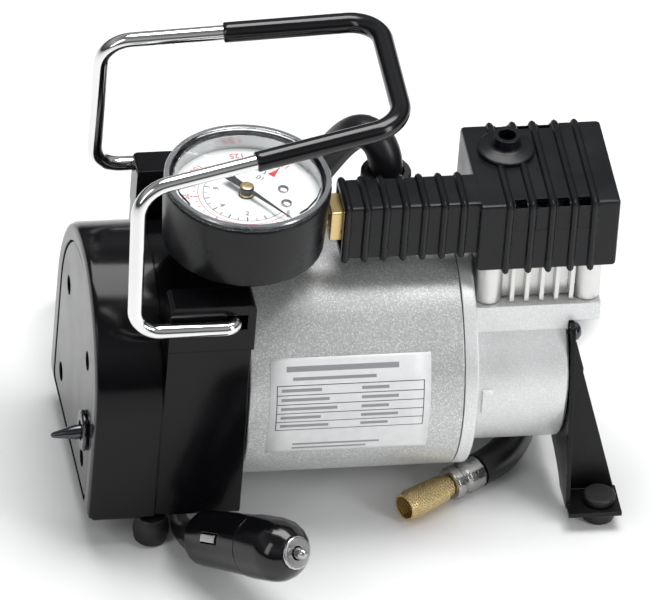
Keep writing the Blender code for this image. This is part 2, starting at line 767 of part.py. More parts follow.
def make_bracket():
    """A bent steel sheet: the plate on the crankcase, two side gussets and two foot tabs."""
    near, far = 157.2, 158.7
    plate = [(-40.0, TAB_FLOOR), (40.0, TAB_FLOOR), (27.5, 10.0), (25.5, 19.2), (24.2, 20.5),
             (-24.2, 20.5), (-25.5, 19.2), (-27.5, 10.0)]
    bracket = add("foot_bracket", prism(plate, "X", near, far), BLACK_GLOSS)
    for side in (-1, 1):
        rings = []
        for thick in (0.0, 1.5):
            rings.append([
                (far - 0.8, side * (26.6 - thick), 13.5), (far + 0.6, side * (26.6 - thick), 13.5),
                (174.6, side * (31.8 - thick), TAB_FLOOR + 0.4),
                (far - 0.8, side * (31.8 - thick), TAB_FLOOR + 0.4),
            ])
        tab = sorted((side * 30.6, side * 45.0))
        join(
            bracket,
            loft(rings),
            box((near + 0.2, tab[0], TAB_FLOOR), (BRACKET_END, tab[1], TAB_TOP)),
        )
    holes = [rod("X", 155.0, 161.0, 1.6, (side * 20.0, 16.0), 8) for side in (-1, 1)]
    holes += [rod("Z", -45.0, -39.0, 2.7, (FRONT_FOOT_X, side * FOOT_Y), 10) for side in (-1, 1)]
    cut(bracket, merged(holes), prism([
        (28.0 * math.cos(math.pi * k / 12), TAB_FLOOR - 1 + 7.0 * math.sin(math.pi * k / 12))
        for k in range(13)
    ], "X", near - 2, far + 0.0999))
    for name, side in (("bracket_screw_near", -1), ("bracket_screw_far", 1)):
        profile = [(149.5, 0.0), (149.5, 1.2), (159.0, 1.2), (159.0, 3.4), (160.2, 3.0),
                   (161.2, 1.8), (161.5, 0.0)]
        add(name, turned(profile, "X", (side * 20.0, 16.0), 12), STEEL)


def make_feet():
    front = [(-47.5, 0.0), (-47.5, 4.9), (-47.0, 5.4), (-42.9, 6.2), (-42.55, 5.8), (-42.55, 2.2),
             (-40.45, 2.2), (-40.45, 5.2), (-38.4, 5.4), (-37.85, 4.9), (-37.85, 0.0)]
    rear = [(-47.5, 0.0), (-47.5, 4.8), (-46.9, 5.4), (-43.2, 6.1), (-40.0, 5.6), (-38.0, 4.5),
            (-38.0, 0.0)]
    for place_name, x, profile in (("front", FRONT_FOOT_X, front), ("rear", REAR_FOOT_X, rear)):
        for side_name, side in (("near", -1), ("far", 1)):
            foot = turned(profile, "Z", (x, side * FOOT_Y), 16)
            add(f"{place_name}_foot_{side_name}", foot, RUBBER)


def handle_corners():
    x, z = HANDLE_AXIS
    near = [(x, -35.0, z), (x, -WIRE_HALF, z), (8.6, -WIRE_HALF, z), (7.5, -39.5, 97.5),
            (95.5, -27.5, 110.7)]
    return near + mirrored(near)[::-1]


def make_handle():
    origin = (HANDLE_AXIS[0], 0.0, HANDLE_AXIS[1])
    corners = handle_corners()
    radii = (4.0, 9.0, 11.0, 12.0, 12.0, 11.0, 9.0, 4.0)
    wire = rounded_path(corners, radii)
    add("handle_wire", sweep(wire, WIRE_R, 8), CHROME, origin)
    elbow, bar = Vector(corners[3]), Vector(corners[4])
    start = elbow.lerp(bar, 0.44)
    grip = [start, bar, Vector(corners[5]), Vector((start.x, -start.y, start.z))]
    sleeve = sweep(rounded_path(grip, (12.0, 12.0)), GRIP_R, 8, WIRE_R + GAP)
    add("handle_grip", sleeve, BLACK_GLOSS, origin)


def make_hose():
    bend = [(123.8 + 27.0 * math.cos(a), 12.8 + 27.0 * math.sin(a), -41.85)
            for a in (math.radians(90 - 20 * k) for k in range(7))]
    route = [(98.0, 7.0, 57.3), (98.0, 7.0, 66.0), (97.2, 7.5, 74.0), (91.5, 12.0, 79.4),
             (86.2, 19.0, 70.0), (82.4, 26.0, 56.8), (79.0, 36.0, 40.0), (77.0, 44.0, 22.0),
             (76.5, 48.0, 4.0), (77.5, 48.5, -14.0), (81.0, 47.5, -29.0), (88.0, 45.5, -39.0),
             (98.0, 43.5, -41.6), (110.0, 41.5, -41.85)]
    route += bend + [(143.6, -7.8, -41.85), (140.4, -12.1, -41.8), (136.35, -15.35, -41.75),
                     (131.32, -18.57, -41.75)]
    add_cord("hose", route, HOSE_R, 2 * HOSE_R, RUBBER)


def make_chuck():
    """Pieces along the hose's end, drawn along their own Z from the ferrule towards the mouth."""
    turn = axis_turn(CHUCK_AXIS)
    ferrule = [(-7.3, 0.0), (-7.3, 5.3), (-6.8, 5.7), (-1.0, 5.7), (-0.4, 4.9), (1.2, 4.9),
               (1.8, 5.7), (4.2, 5.7), (4.8, 5.2), (4.8, 0.0)]
    add("hose_ferrule", turned(ferrule, "Z", steps=12), ALUMINIUM, CHUCK_POINT, turn)
    body = [(5.1, 0.0), (5.1, 3.6), (7.5, 3.6), (8.0, 4.6), (21.6, 5.1), (22.2, 4.7), (24.6, 4.6),
            (24.6, 3.9), (15.6, 3.9), (15.6, 1.4), (19.3, 1.4), (19.6, 1.1), (19.6, 0.0)]
    add("chuck_body", turned(body, "Z", steps=18), BRASS, CHUCK_POINT, turn)


def make_cord():
    gland = [(33.0, 0.0), (33.0, 4.8), (36.3, 4.8), (36.3, 4.1), (41.7, 4.1), (41.7, 6.0),
             (44.0, 6.0), (45.5, 4.6), (65.7, 3.2), (65.7, 0.0)]
    add("cord_gland", turned(gland, "Y", (10.0, -24.0), 12), RUBBER)
    floor = GROUND + CORD_R + 0.05
    feed = [(10.0, 66.3, -24.0), (10.0, 71.5, -24.1), (10.1, 77.0, -26.3), (12.0, 83.5, -33.5),
            (17.5, 89.5, -41.5), (28.0, 95.0, floor + 0.3), (43.0, 99.5, floor),
            (62.0, 102.0, floor), (82.0, 106.0, floor), (100.0, 109.5, floor),
            (113.0, 112.9, floor), (126.0, 117.6, floor)]
    add_cord("power_cord_feed", feed, CORD_R, 3 * CORD_R, RUBBER)
    lead = [(113.8, 53.4, floor), (106.0, 59.5, floor), (97.0, 63.0, floor), (85.0, 64.0, floor),
            (70.0, 61.5, floor), (55.0, 56.0, floor), (43.0, 46.0, floor), (36.5, 33.0, floor),
            (33.0, 18.0, floor), (31.2, 0.0, floor), (30.6, -16.0, floor),
            (30.4, -27.0, floor + 0.2), (30.3, -33.6, floor + 0.8)]
    add_cord("power_cord_lead", lead, CORD_R, 4 * CORD_R, RUBBER)
    half_width = COIL_COLUMNS * CORD_R
    inner, outer = COIL_MEAN_R - half_width, COIL_MEAN_R + half_width
    top = GROUND + COIL_ROWS * 2 * CORD_R
    profile = [(GROUND, inner + 1.0), (GROUND, outer - 1.0), (GROUND + 1.5, outer),
               (top - 1.5, outer), (top, outer - 1.0), (top, inner + 1.0), (top - 1.5, inner),
               (GROUND + 1.5, inner)]
    add("cord_coil", turned(profile, "Z", COIL, 28), RUBBER)


def make_plug():
    tail = [(34.3, -49.9, -38.4), (32.7, -47.4, -39.8), (31.3, -44.4, -41.1), (30.5, -41.0, -42.2),
            (30.3, -37.4, -43.2), (30.3, -34.0, -44.0)]
    add("plug_tail", sweep(tail, [6.2, 5.4, 4.4, 3.8, 3.4, 3.1], 10), RUBBER)
    turn = axis_turn(PLUG_AXIS, PLUG_CONTACT_SIDE)
    origin = Vector(PLUG_START)

    def piece(name, profile, finish, steps=20):
        return add(name, turned(profile, "Z", steps=steps), finish, origin, turn)

    body = piece("plug_body", [
        (0.5, 0.0), (0.5, 6.6), (1.2, 8.2), (3.0, 9.2), (26.0, 10.1), (28.7, 10.2), (28.7, 5.0),
        (8.0, 5.0), (8.0, 0.0),
    ], BLACK_GLOSS)
    slot = add("plug_body_slot", box((7.2, -1.7, 11.5), (13.0, 1.7, 19.5)), None, origin, turn)
    step = body.modifiers.new("slot", "BOOLEAN")
    step.operation = "DIFFERENCE"
    step.object = slot
    add("plug_contact", box((7.6, -1.3, 12.0), (10.3, 1.3, 19.0)), STEEL, origin, turn)
    nose = [(29.0, 5.0), (29.0, 10.3), (29.6, 10.6), (39.5, 10.6)]
    nose += [(39.5 + 10.6 * math.sin(a), 10.6 * math.cos(a)) for a in
             (math.radians(14 * k) for k in range(1, 5))]
    nose += [(48.4, 5.8), (48.4, 2.5), (44.0, 2.5), (44.0, 5.0)]
    piece("plug_nose", nose, BLACK_GLOSS)
    piece("plug_washer", [(48.7, 2.4), (48.7, 5.6), (49.3, 5.6), (49.7, 5.2), (49.7, 2.4)], STEEL, 16)
    piece("plug_tip", [(36.0, 0.0), (36.0, 4.4), (38.0, 4.4), (38.0, 2.0), (51.6, 2.0),
                       (52.9, 1.6), (53.6, 0.7), (53.7, 0.0)], STEEL, 12)


clear_scene()
BASE = make_base()
make_rear_housing()
make_rear_panel()
make_switch()
make_motor_tube()
make_magnets()
make_rotor()
make_brush_gear()
make_end_bell()
make_crankcase()
make_crank()
make_piston()
make_cylinder()
make_valve_gear()
make_head_cover()
make_air_line()
make_gauge()
make_bracket()
make_feet()
make_handle()
make_hose()
make_chuck()
make_cord()
make_plug()
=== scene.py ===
"""Looks of a portable 12 V tyre inflator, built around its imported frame, in metres.

Routes and places are written in the design frame of the part, in millimetres: X along the motor
from the rim of the rear housing, Z up from the motor's axis. at() turns them into the frame's metres.
"""

import json
import math

import bpy
from mathutils import Matrix, Vector


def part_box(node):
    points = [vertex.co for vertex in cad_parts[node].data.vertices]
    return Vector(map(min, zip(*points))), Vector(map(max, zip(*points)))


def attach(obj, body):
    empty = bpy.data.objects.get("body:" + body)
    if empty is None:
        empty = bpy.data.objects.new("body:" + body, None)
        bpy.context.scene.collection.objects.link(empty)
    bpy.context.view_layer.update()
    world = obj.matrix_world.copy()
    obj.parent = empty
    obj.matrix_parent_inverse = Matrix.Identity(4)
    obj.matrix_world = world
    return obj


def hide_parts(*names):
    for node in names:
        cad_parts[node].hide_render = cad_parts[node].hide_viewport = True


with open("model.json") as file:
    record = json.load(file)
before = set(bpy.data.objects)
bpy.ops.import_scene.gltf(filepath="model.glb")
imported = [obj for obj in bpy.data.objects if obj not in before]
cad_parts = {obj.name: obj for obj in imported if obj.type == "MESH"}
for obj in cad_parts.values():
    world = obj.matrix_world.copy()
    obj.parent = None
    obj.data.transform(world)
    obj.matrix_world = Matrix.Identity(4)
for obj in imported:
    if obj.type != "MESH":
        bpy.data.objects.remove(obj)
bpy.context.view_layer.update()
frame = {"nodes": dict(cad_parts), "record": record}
NODES = frame["nodes"]

MM = 0.001

# The motor tube, the gauge and its scale, in millimetres and degrees
TUBE_END = 120.1
TUBE_R = 41.1
TUBE_LOW, TUBE_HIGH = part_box("motor_tube")
ORIGIN = Vector((TUBE_HIGH.x - TUBE_END * MM, 0.0, (TUBE_LOW.z + TUBE_HIGH.z) / 2))
GROUND = -ORIGIN.z / MM
GAUGE = (48.6, -11.4)
DIAL_TOP = 72.2
ZERO_ANGLE = -45.0
FULL_TURN = 270.0
FULL_SCALE = 150.0
INNER_UNIT = 14.5
INK_LIFT = 0.04

CURVE_STEPS = 24
ROUGHNESS_SPREAD = 0.3


def at(x, y, z):
    return Vector((x, y, z)) * MM + ORIGIN


def smooth_path(points, spacing):
    """Evenly spaced points on a Catmull-Rom curve through the route's points."""
    points = [Vector(point) for point in points]
    ends = [2 * points[0] - points[1]] + points + [2 * points[-1] - points[-2]]
    fine = []
    for a, b, c, d in zip(ends, ends[1:], ends[2:], ends[3:]):
        for k in range(CURVE_STEPS):
            t = k / CURVE_STEPS
            fine.append(0.5 * (
                2 * b + (c - a) * t + (2 * a - 5 * b + 4 * c - d) * t * t
                + (3 * b - a - 3 * c + d) * t ** 3
            ))
    fine.append(points[-1])
    length = sum((b - a).length for a, b in zip(fine, fine[1:]))
    count = max(2, round(length / spacing))
    kept = [fine[0]]
    walked = 0.0
    for a, b in zip(fine, fine[1:]):
        walked += (b - a).length
        if walked >= length * len(kept) / count and len(kept) < count:
            kept.append(b)
    kept.append(fine[-1])
    return kept


def eased(points, passes):
    """The path with its small kinks averaged out; its two ends stay."""
    for _ in range(passes):
        points = [points[0]] + [
            (a + 2 * b + c) / 4 for a, b, c in zip(points, points[1:], points[2:])
        ] + [points[-1]]
    return points


def rounded_path(corners, radii, steps=14):
    """A polyline whose inner corners are rounded with arcs of the given radii."""
    corners = [Vector(corner) for corner in corners]
    path = [corners[0]]
    for before, corner, after, radius in zip(corners, corners[1:], corners[2:], radii):
        back = (before - corner).normalized()
        on = (after - corner).normalized()
        half = back.angle(on) / 2
        reach = radius / math.tan(half)
        centre = corner + (back + on).normalized() * (radius / math.sin(half))
        start = corner + back * reach - centre
        end = corner + on * reach - centre
        whole = start.angle(end)
        for k in range(steps + 1):
            share = k / steps
            turn = math.sin((1 - share) * whole) * start + math.sin(share * whole) * end
            path.append(centre + turn / math.sin(whole))
    path.append(corners[-1])
    return path


def tube_piece(name, points, radius, body, look, sides):
    """A round rod or cord: a curve object along points in the design frame."""
    curve = bpy.data.curves.new(name, "CURVE")
    curve.dimensions = "3D"
    curve.bevel_depth = radius * MM
    curve.bevel_resolution = sides
    curve.use_fill_caps = True
    spline = curve.splines.new("POLY")
    spline.points.add(len(points) - 1)
    for knot, point in zip(spline.points, points):
        knot.co = (*at(*point), 1.0)
    spline.use_smooth = True
    curve.materials.append(look)
    piece = bpy.data.objects.new(name, curve)
    bpy.context.scene.collection.objects.link(piece)
    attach(piece, body)
    return piece


def mesh_piece(name, vertices, faces, look, body, smooth=True):
    """A mesh object from points in the design frame."""
    mesh = bpy.data.meshes.new(name)
    mesh.from_pydata([at(*v) for v in vertices], [], faces)
    mesh.materials.append(look)
    if smooth:
        mesh.shade_smooth()
    piece = bpy.data.objects.new(name, mesh)
    bpy.context.scene.collection.objects.link(piece)
    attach(piece, body)
    return piece


# Materials


class Look:
    """A material's node tree, with the few nodes that every surface here uses."""

    def __init__(self, name):
        self.material = bpy.data.materials.new(name)
        self.material.use_nodes = True
        self.tree = self.material.node_tree
        self.shader = self.tree.nodes["Principled BSDF"]
        self.place = self.node("ShaderNodeTexCoord").outputs["Object"]

    def node(self, kind, **settings):
        made = self.tree.nodes.new(kind)
        for key, value in settings.items():
            setattr(made, key, value)
        return made

    def link(self, start, end):
        self.tree.links.new(start, end)

    def noise(self, scale, detail=3.0, stretch=None):
        texture = self.node("ShaderNodeTexNoise")
        texture.inputs["Scale"].default_value = scale
        texture.inputs["Detail"].default_value = detail
        source = self.place
        if stretch:
            mapping = self.node("ShaderNodeMapping")
            mapping.inputs["Scale"].default_value = stretch
            self.link(source, mapping.inputs["Vector"])
            source = mapping.outputs["Vector"]
        self.link(source, texture.inputs["Vector"])
        return texture.outputs["Fac"]

    def ramp(self, value, low, high):
        """value, a number from 0 to 1, read as a mix from low to high."""
        spread = self.node("ShaderNodeMapRange")
        spread.inputs["From Min"].default_value = 0.3
        spread.inputs["From Max"].default_value = 0.7
        spread.inputs["To Min"].default_value = low
        spread.inputs["To Max"].default_value = high
        self.link(value, spread.inputs["Value"])
        return spread.outputs["Result"]

    def colours(self, value, stops):
        """value, a number from 0 to 1, read as a colour between the stops."""
        node = self.node("ShaderNodeValToRGB")
        elements = node.color_ramp.elements
        while len(elements) < len(stops):
            elements.new(0.5)
        for element, (place, colour) in zip(elements, stops):
            element.position = place
            element.color = (*colour, 1.0)
        self.link(value, node.inputs["Fac"])
        return node.outputs["Color"]

    def bump(self, height, strength, distance, edge=0.0):
        """Relief of the given distance in millimetres, over edges rounded by edge."""
        node = self.node("ShaderNodeBump")
        node.inputs["Strength"].default_value = strength
        node.inputs["Distance"].default_value = distance * MM
        self.link(height, node.inputs["Height"])
        if edge:
            corner = self.node("ShaderNodeBevel", samples=4)
            corner.inputs["Radius"].default_value = edge * MM
            self.link(corner.outputs["Normal"], node.inputs["Normal"])
        self.link(node.outputs["Normal"], self.shader.inputs["Normal"])


def worn(colour, change):
    """The colour, made darker or brighter by a factor."""
    return tuple(min(1.0, max(0.0, c * change)) for c in colour)


def make_look(name, colour, rough, metal=0.0, grain=900.0, height=0.02, strength=0.3,
              change=0.8, edge=0.35, stretch=None, gloss=0.5):
    """A moulded, cast, painted or plated surface: grained, unevenly rough and slightly mottled."""
    look = Look(name)
    shader = look.shader
    shader.inputs["Metallic"].default_value = metal
    shader.inputs["Specular IOR Level"].default_value = gloss
    broad = look.noise(60.0, 4.0, stretch)
    fine = look.noise(grain, 3.0, stretch)
    look.link(look.colours(broad, [(0.3, worn(colour, change)), (0.7, colour)]),
              shader.inputs["Base Color"])
    look.link(look.ramp(broad, rough * (1 - ROUGHNESS_SPREAD), rough * (1 + ROUGHNESS_SPREAD)),
              shader.inputs["Roughness"])
    look.bump(fine, strength, height, edge)
    return look.material


def sparkle_paint(name, tones):
    """Silver paint with fine metal flakes that tilt the light. tones run from dark to bright."""
    look = Look(name)
    shader = look.shader
    flakes = look.node("ShaderNodeTexVoronoi")
    flakes.inputs["Scale"].default_value = 3200.0
    look.link(look.place, flakes.inputs["Vector"])
    split = look.node("ShaderNodeSeparateColor")
    look.link(flakes.outputs["Color"], split.inputs["Color"])
    look.link(look.colours(split.outputs["Red"], [
        (place, (tone, tone * 1.01, tone * 1.01)) for place, tone in zip((0.0, 0.7, 1.0), tones)
    ]), shader.inputs["Base Color"])
    shader.inputs["Metallic"].default_value = 0.4
    shader.inputs["Coat Weight"].default_value = 0.12
    shader.inputs["Coat Roughness"].default_value = 0.2
    look.link(look.ramp(look.noise(80.0), 0.34, 0.44), shader.inputs["Roughness"])
    look.bump(split.outputs["Green"], 0.12, 0.02, 0.4)
    return look.material


def knurled_brass():
    """Brass with a crossed cut knurl round the chuck's axis."""
    look = Look("knurled_brass")
    shader = look.shader
    shader.inputs["Metallic"].default_value = 1.0
    shader.inputs["Base Color"].default_value = (0.78, 0.60, 0.30, 1.0)
    heights = []
    for tilt in (0.6, -0.6):
        mapping = look.node("ShaderNodeMapping")
        mapping.inputs["Rotation"].default_value = (tilt, tilt, 0.57)
        wave = look.node("ShaderNodeTexWave")
        wave.inputs["Scale"].default_value = 640.0
        look.link(look.place, mapping.inputs["Vector"])
        look.link(mapping.outputs["Vector"], wave.inputs["Vector"])
        heights.append(wave.outputs["Fac"])
    crossed = look.node("ShaderNodeMath", operation="MULTIPLY")
    look.link(heights[0], crossed.inputs[0])
    look.link(heights[1], crossed.inputs[1])
    look.link(look.ramp(crossed.outputs["Value"], 0.22, 0.42), shader.inputs["Roughness"])
    look.bump(crossed.outputs["Value"], 0.8, 0.4, 0.3)
    return look.material


def clear_lens():
    """Clear plastic: see-through face on, shiny towards its edges."""
    look = Look("clear_lens")
    shader = look.shader
    shader.inputs["Base Color"].default_value = (0.94, 0.96, 0.97, 1.0)
    shader.inputs["Metallic"].default_value = 1.0
    shader.inputs["Roughness"].default_value = 0.05
    look.bump(look.noise(30.0), 0.04, 0.05)
    clear = look.node("ShaderNodeBsdfTransparent")
    facing = look.node("ShaderNodeLayerWeight")
    facing.inputs["Blend"].default_value = 0.16
    mix = look.node("ShaderNodeMixShader")
    look.link(facing.outputs["Fresnel"], mix.inputs["Fac"])
    look.link(clear.outputs["BSDF"], mix.inputs[1])
    look.link(shader.outputs["BSDF"], mix.inputs[2])
    look.link(mix.outputs["Shader"], look.tree.nodes["Material Output"].inputs["Surface"])
    return look.material


def printed_label():
    """White sticker with a ruled table and plain grey bars, laid out on its own UVs."""
    look = Look("printed_label")
    split = look.node("ShaderNodeSeparateXYZ")
    look.link(look.node("ShaderNodeTexCoord").outputs["UV"], split.inputs["Vector"])

    def within(source, low, high):
        above = look.node("ShaderNodeMath", operation="GREATER_THAN")
        below = look.node("ShaderNodeMath", operation="LESS_THAN")
        both = look.node("ShaderNodeMath", operation="MULTIPLY")
        above.inputs[1].default_value = low
        below.inputs[1].default_value = high
        look.link(source, above.inputs[0])
        look.link(source, below.inputs[0])
        look.link(above.outputs["Value"], both.inputs[0])
        look.link(below.outputs["Value"], both.inputs[1])
        return both.outputs["Value"]

    paper = look.colours(look.noise(300.0), [(0.3, (0.80, 0.81, 0.81)), (0.7, (0.86, 0.87, 0.87))])
    ink = (0.06, 0.06, 0.07)
    grey = (0.32, 0.32, 0.34)
    pitch = 0.09
    rows = range(5)
    bars = [(0.10, 0.80, 0.875, 0.925), (0.14, 0.66, 0.795, 0.825), (0.16, 0.70, 0.10, 0.125),
            (0.16, 0.62, 0.045, 0.07)]
    bars += [(0.07, 0.32 + 0.05 * (k % 3), 0.69 - pitch * k, 0.72 - pitch * k) for k in rows]
    bars += [(0.57, 0.74 + 0.06 * (k % 2), 0.69 - pitch * k, 0.72 - pitch * k) for k in rows]
    rules = [(0.04, 0.96, 0.745 - pitch * k, 0.753 - pitch * k) for k in range(len(rows) + 1)]
    rules += [(0.04, 0.046, 0.295, 0.753), (0.954, 0.96, 0.295, 0.753)]
    marks = [(*bar, grey) for bar in bars] + [(*rule, ink) for rule in rules]
    for left, right, low, high, colour in marks:
        mask = look.node("ShaderNodeMath", operation="MULTIPLY")
        look.link(within(split.outputs["X"], left, right), mask.inputs[0])
        look.link(within(split.outputs["Y"], low, high), mask.inputs[1])
        mix = look.node("ShaderNodeMix", data_type="RGBA")
        look.link(mask.outputs["Value"], mix.inputs["Factor"])
        look.link(paper, mix.inputs["A"])
        mix.inputs["B"].default_value = (*colour, 1.0)
        paper = mix.outputs["Result"]
    look.link(paper, look.shader.inputs["Base Color"])
    look.link(look.ramp(look.noise(120.0), 0.28, 0.40), look.shader.inputs["Roughness"])
    look.bump(look.noise(700.0), 0.08, 0.02)
    return look.material


LOOKS = {
    "black_gloss": make_look("gloss_moulding", (0.004, 0.004, 0.005), 0.16, grain=500.0,
                             strength=0.12, edge=0.7, gloss=0.22),
    "black_sheet": make_look("satin_sheet_paint", (0.006, 0.006, 0.007), 0.30, 0.2, grain=1400.0,
                             strength=0.2, edge=0.5, gloss=0.32),
    "cover_black": make_look("charcoal_moulding", (0.006, 0.0065, 0.008), 0.30, grain=1200.0,
                             strength=0.25, edge=0.5, gloss=0.30),
    "silver_paint": sparkle_paint("silver_flake_paint", (0.47, 0.60, 0.84)),
    "white_paint": make_look("pale_casting_paint", (0.62, 0.64, 0.64), 0.42, 0.2, grain=700.0,
                             height=0.06, strength=0.45, change=0.92, edge=0.7),
    "cast_aluminium": make_look("bare_casting", (0.80, 0.80, 0.78), 0.36, 0.85, grain=800.0,
                                height=0.05, strength=0.4, change=0.85),
    "steel": make_look("turned_steel", (0.56, 0.56, 0.56), 0.26, 1.0, grain=1500.0),
    "chrome": make_look("chrome_plate", (0.86, 0.86, 0.85), 0.09, 1.0, grain=200.0, strength=0.06,
                        change=0.93, edge=0.0),
    "brass": make_look("plain_brass", (0.83, 0.62, 0.30), 0.30, 0.9, grain=900.0, strength=0.25,
                       change=0.82, stretch=(1.0, 1.0, 6.0)),
    "copper": make_look("enamelled_copper", (0.72, 0.34, 0.17), 0.3, 1.0, stretch=(0.2, 4.0, 4.0)),
    "ferrite": make_look("sintered_ferrite", (0.06, 0.06, 0.065), 0.6, height=0.05),
    "rubber": make_look("moulded_rubber", (0.008, 0.008, 0.009), 0.46, grain=1500.0, height=0.04,
                        strength=0.4),
    "hose_rubber": make_look("smooth_hose", (0.010, 0.010, 0.012), 0.36, grain=1100.0, height=0.03,
                             strength=0.3, edge=0.0),
    "cord_black": make_look("cord_sheath", (0.012, 0.012, 0.013), 0.38, grain=1300.0, height=0.03,
                            edge=0.0),
    "grip_vinyl": make_look("dipped_vinyl", (0.004, 0.004, 0.005), 0.14, grain=240.0, height=0.05,
                            strength=0.2, edge=0.0, gloss=0.5),
    "plug_black": make_look("gloss_plug", (0.004, 0.004, 0.005), 0.13, grain=400.0, strength=0.12,
                            edge=0.4, gloss=0.5),
    "dial_white": make_look("printed_dial", (0.86, 0.88, 0.88), 0.45, grain=600.0, height=0.01,
                            change=0.97, edge=0.0),
    "needle_black": make_look("needle_paint", (0.02, 0.02, 0.02), 0.35, edge=0.1),
    "lens_clear": clear_lens(),
}
DARK_PLATE = make_look("dark_plate", (0.10, 0.10, 0.11), 0.18, 1.0, grain=400.0, edge=0.2)
CRIMPED = make_look("crimped_ferrule", (0.52, 0.52, 0.51), 0.24, 1.0, grain=260.0, height=0.12,
                    strength=0.5, stretch=(6.0, 6.0, 1.0))
FLAKED_CASTING = sparkle_paint("flaked_casting_paint", (0.73, 0.79, 0.90))
KNURLED = knurled_brass()
LABEL = printed_label()
RIM = make_look("lens_rim_plate", (0.42, 0.43, 0.45), 0.22, 0.8, grain=300.0, strength=0.1, edge=0.0)
RED_INK = make_look("red_ink", (0.62, 0.035, 0.035), 0.5, grain=900.0, edge=0.0)
BLACK_INK = make_look("black_ink", (0.03, 0.03, 0.03), 0.5, grain=900.0, edge=0.0)


# Camera, light and floor


CAMERA_ANGLES = (-12.043, 38.100, 4.813)
CAMERA_TARGET = (81.862, 0.0, 17.566)
CAMERA_DISTANCE = 8.0
SENSOR_WIDTH = 36.0
FOCAL_LENGTH = 1335.6
SKY_STRENGTH = 0.42
SKY_TONES = ((0.0, 0.10), (0.25, 0.35), (0.55, 1.0), (0.85, 0.45))
LIGHT_TARGET = (0.0, 0.0, 0.06)
LIGHTS = (
    ("overhead", (0.1, 0.15, 1.0), (0.9, 0.5), 11.5),
    ("left", (-0.9, -0.7, 0.7), (0.3, 0.9), 2.6),
    ("right", (0.8, -0.75, 0.5), (0.25, 0.8), 4.0),
)
FLOOR_SIZE = 6.0
FLOOR_DROP = 0.0002


def make_camera():
    """Long lens from high on the near side, slightly rolled."""
    turn, rise, roll = (math.radians(angle) for angle in CAMERA_ANGLES)
    back = Vector((math.sin(turn) * math.cos(rise), -math.cos(turn) * math.cos(rise),
                   math.sin(rise)))
    right = Vector((math.cos(turn), math.sin(turn), 0.0))
    up = back.cross(right)
    side = right * math.cos(roll) + up * math.sin(roll)
    top = up * math.cos(roll) - right * math.sin(roll)
    lens = bpy.data.cameras.new("camera")
    lens.sensor_fit = "HORIZONTAL"
    lens.sensor_width = SENSOR_WIDTH
    lens.lens = FOCAL_LENGTH
    lens.clip_start = 0.1
    lens.clip_end = 100.0
    camera = bpy.data.objects.new("camera", lens)
    bpy.context.scene.collection.objects.link(camera)
    axes = Matrix((side, top, back)).transposed().to_4x4()
    target = at(*CAMERA_TARGET)
    camera.matrix_world = Matrix.Translation(target + back * CAMERA_DISTANCE) @ axes
    bpy.context.scene.camera = camera


def make_light(name, place, size, power):
    """A soft rectangular light aimed at the middle of the object."""
    data = bpy.data.lights.new(name, "AREA")
    data.shape = "RECTANGLE"
    data.size, data.size_y = size
    data.energy = power
    light = bpy.data.objects.new(name, data)
    bpy.context.scene.collection.objects.link(light)
    light.location = place
    light.rotation_mode = "QUATERNION"
    light.rotation_quaternion = (Vector(LIGHT_TARGET) - Vector(place)).to_track_quat("-Z", "Y")


def make_studio():
    """A graded grey sky, three soft lights and a pale floor."""
    world = bpy.data.worlds.new("studio")
    bpy.context.scene.world = world
    world.use_nodes = True
    sky = world.node_tree.nodes["Background"]
    sky.inputs["Strength"].default_value = SKY_STRENGTH
    nodes, links = world.node_tree.nodes, world.node_tree.links
    height = nodes.new("ShaderNodeSeparateXYZ")
    links.new(nodes.new("ShaderNodeTexCoord").outputs["Generated"], height.inputs["Vector"])
    shade = nodes.new("ShaderNodeValToRGB")
    for k, (place, tone) in enumerate(SKY_TONES):
        stop = shade.color_ramp.elements[k] if k < 2 else shade.color_ramp.elements.new(place)
        stop.position = place
        stop.color = (tone * 0.96, tone * 0.98, tone, 1.0)
    links.new(height.outputs["Z"], shade.inputs["Fac"])
    links.new(shade.outputs["Color"], sky.inputs["Color"])
    for light in LIGHTS:
        make_light(*light)
    bpy.ops.mesh.primitive_plane_add(size=FLOOR_SIZE, location=(0.0, 0.0, -FLOOR_DROP))
    floor = bpy.context.object
    floor.name = "studio_floor"
    floor.data.materials.append(make_look("floor_paper", (0.90, 0.90, 0.90), 0.7, change=0.99,
                                          edge=0.0))
    bpy.context.scene.view_settings.view_transform = "Standard"


# Cords


HOSE_R = 5.65
HOSE_EXIT = (98.0, 7.0, 57.3)
HOSE_FLOOR = -41.85
HOSE_BEND = (123.8, 12.8)
HOSE_BEND_R = 27.0
CORD_R = 2.5
CORD_FLOOR = GROUND + CORD_R + 0.05
COIL = (143.0, 80.4)
COIL_INNER = 19.35
COIL_STEP = 5.1
COIL_RISE = 5.05
COIL_ENTRY = 114.6
COIL_LAYERS = 4
LAYER_TURNS = 4
LAYER_ANGLE = 1320
FIRST_LAYER_ANGLE = 120
CROSSING = 60
OUTSIDE = 4.0
CORD_EXIT = (10.0, 66.3, -24.0)


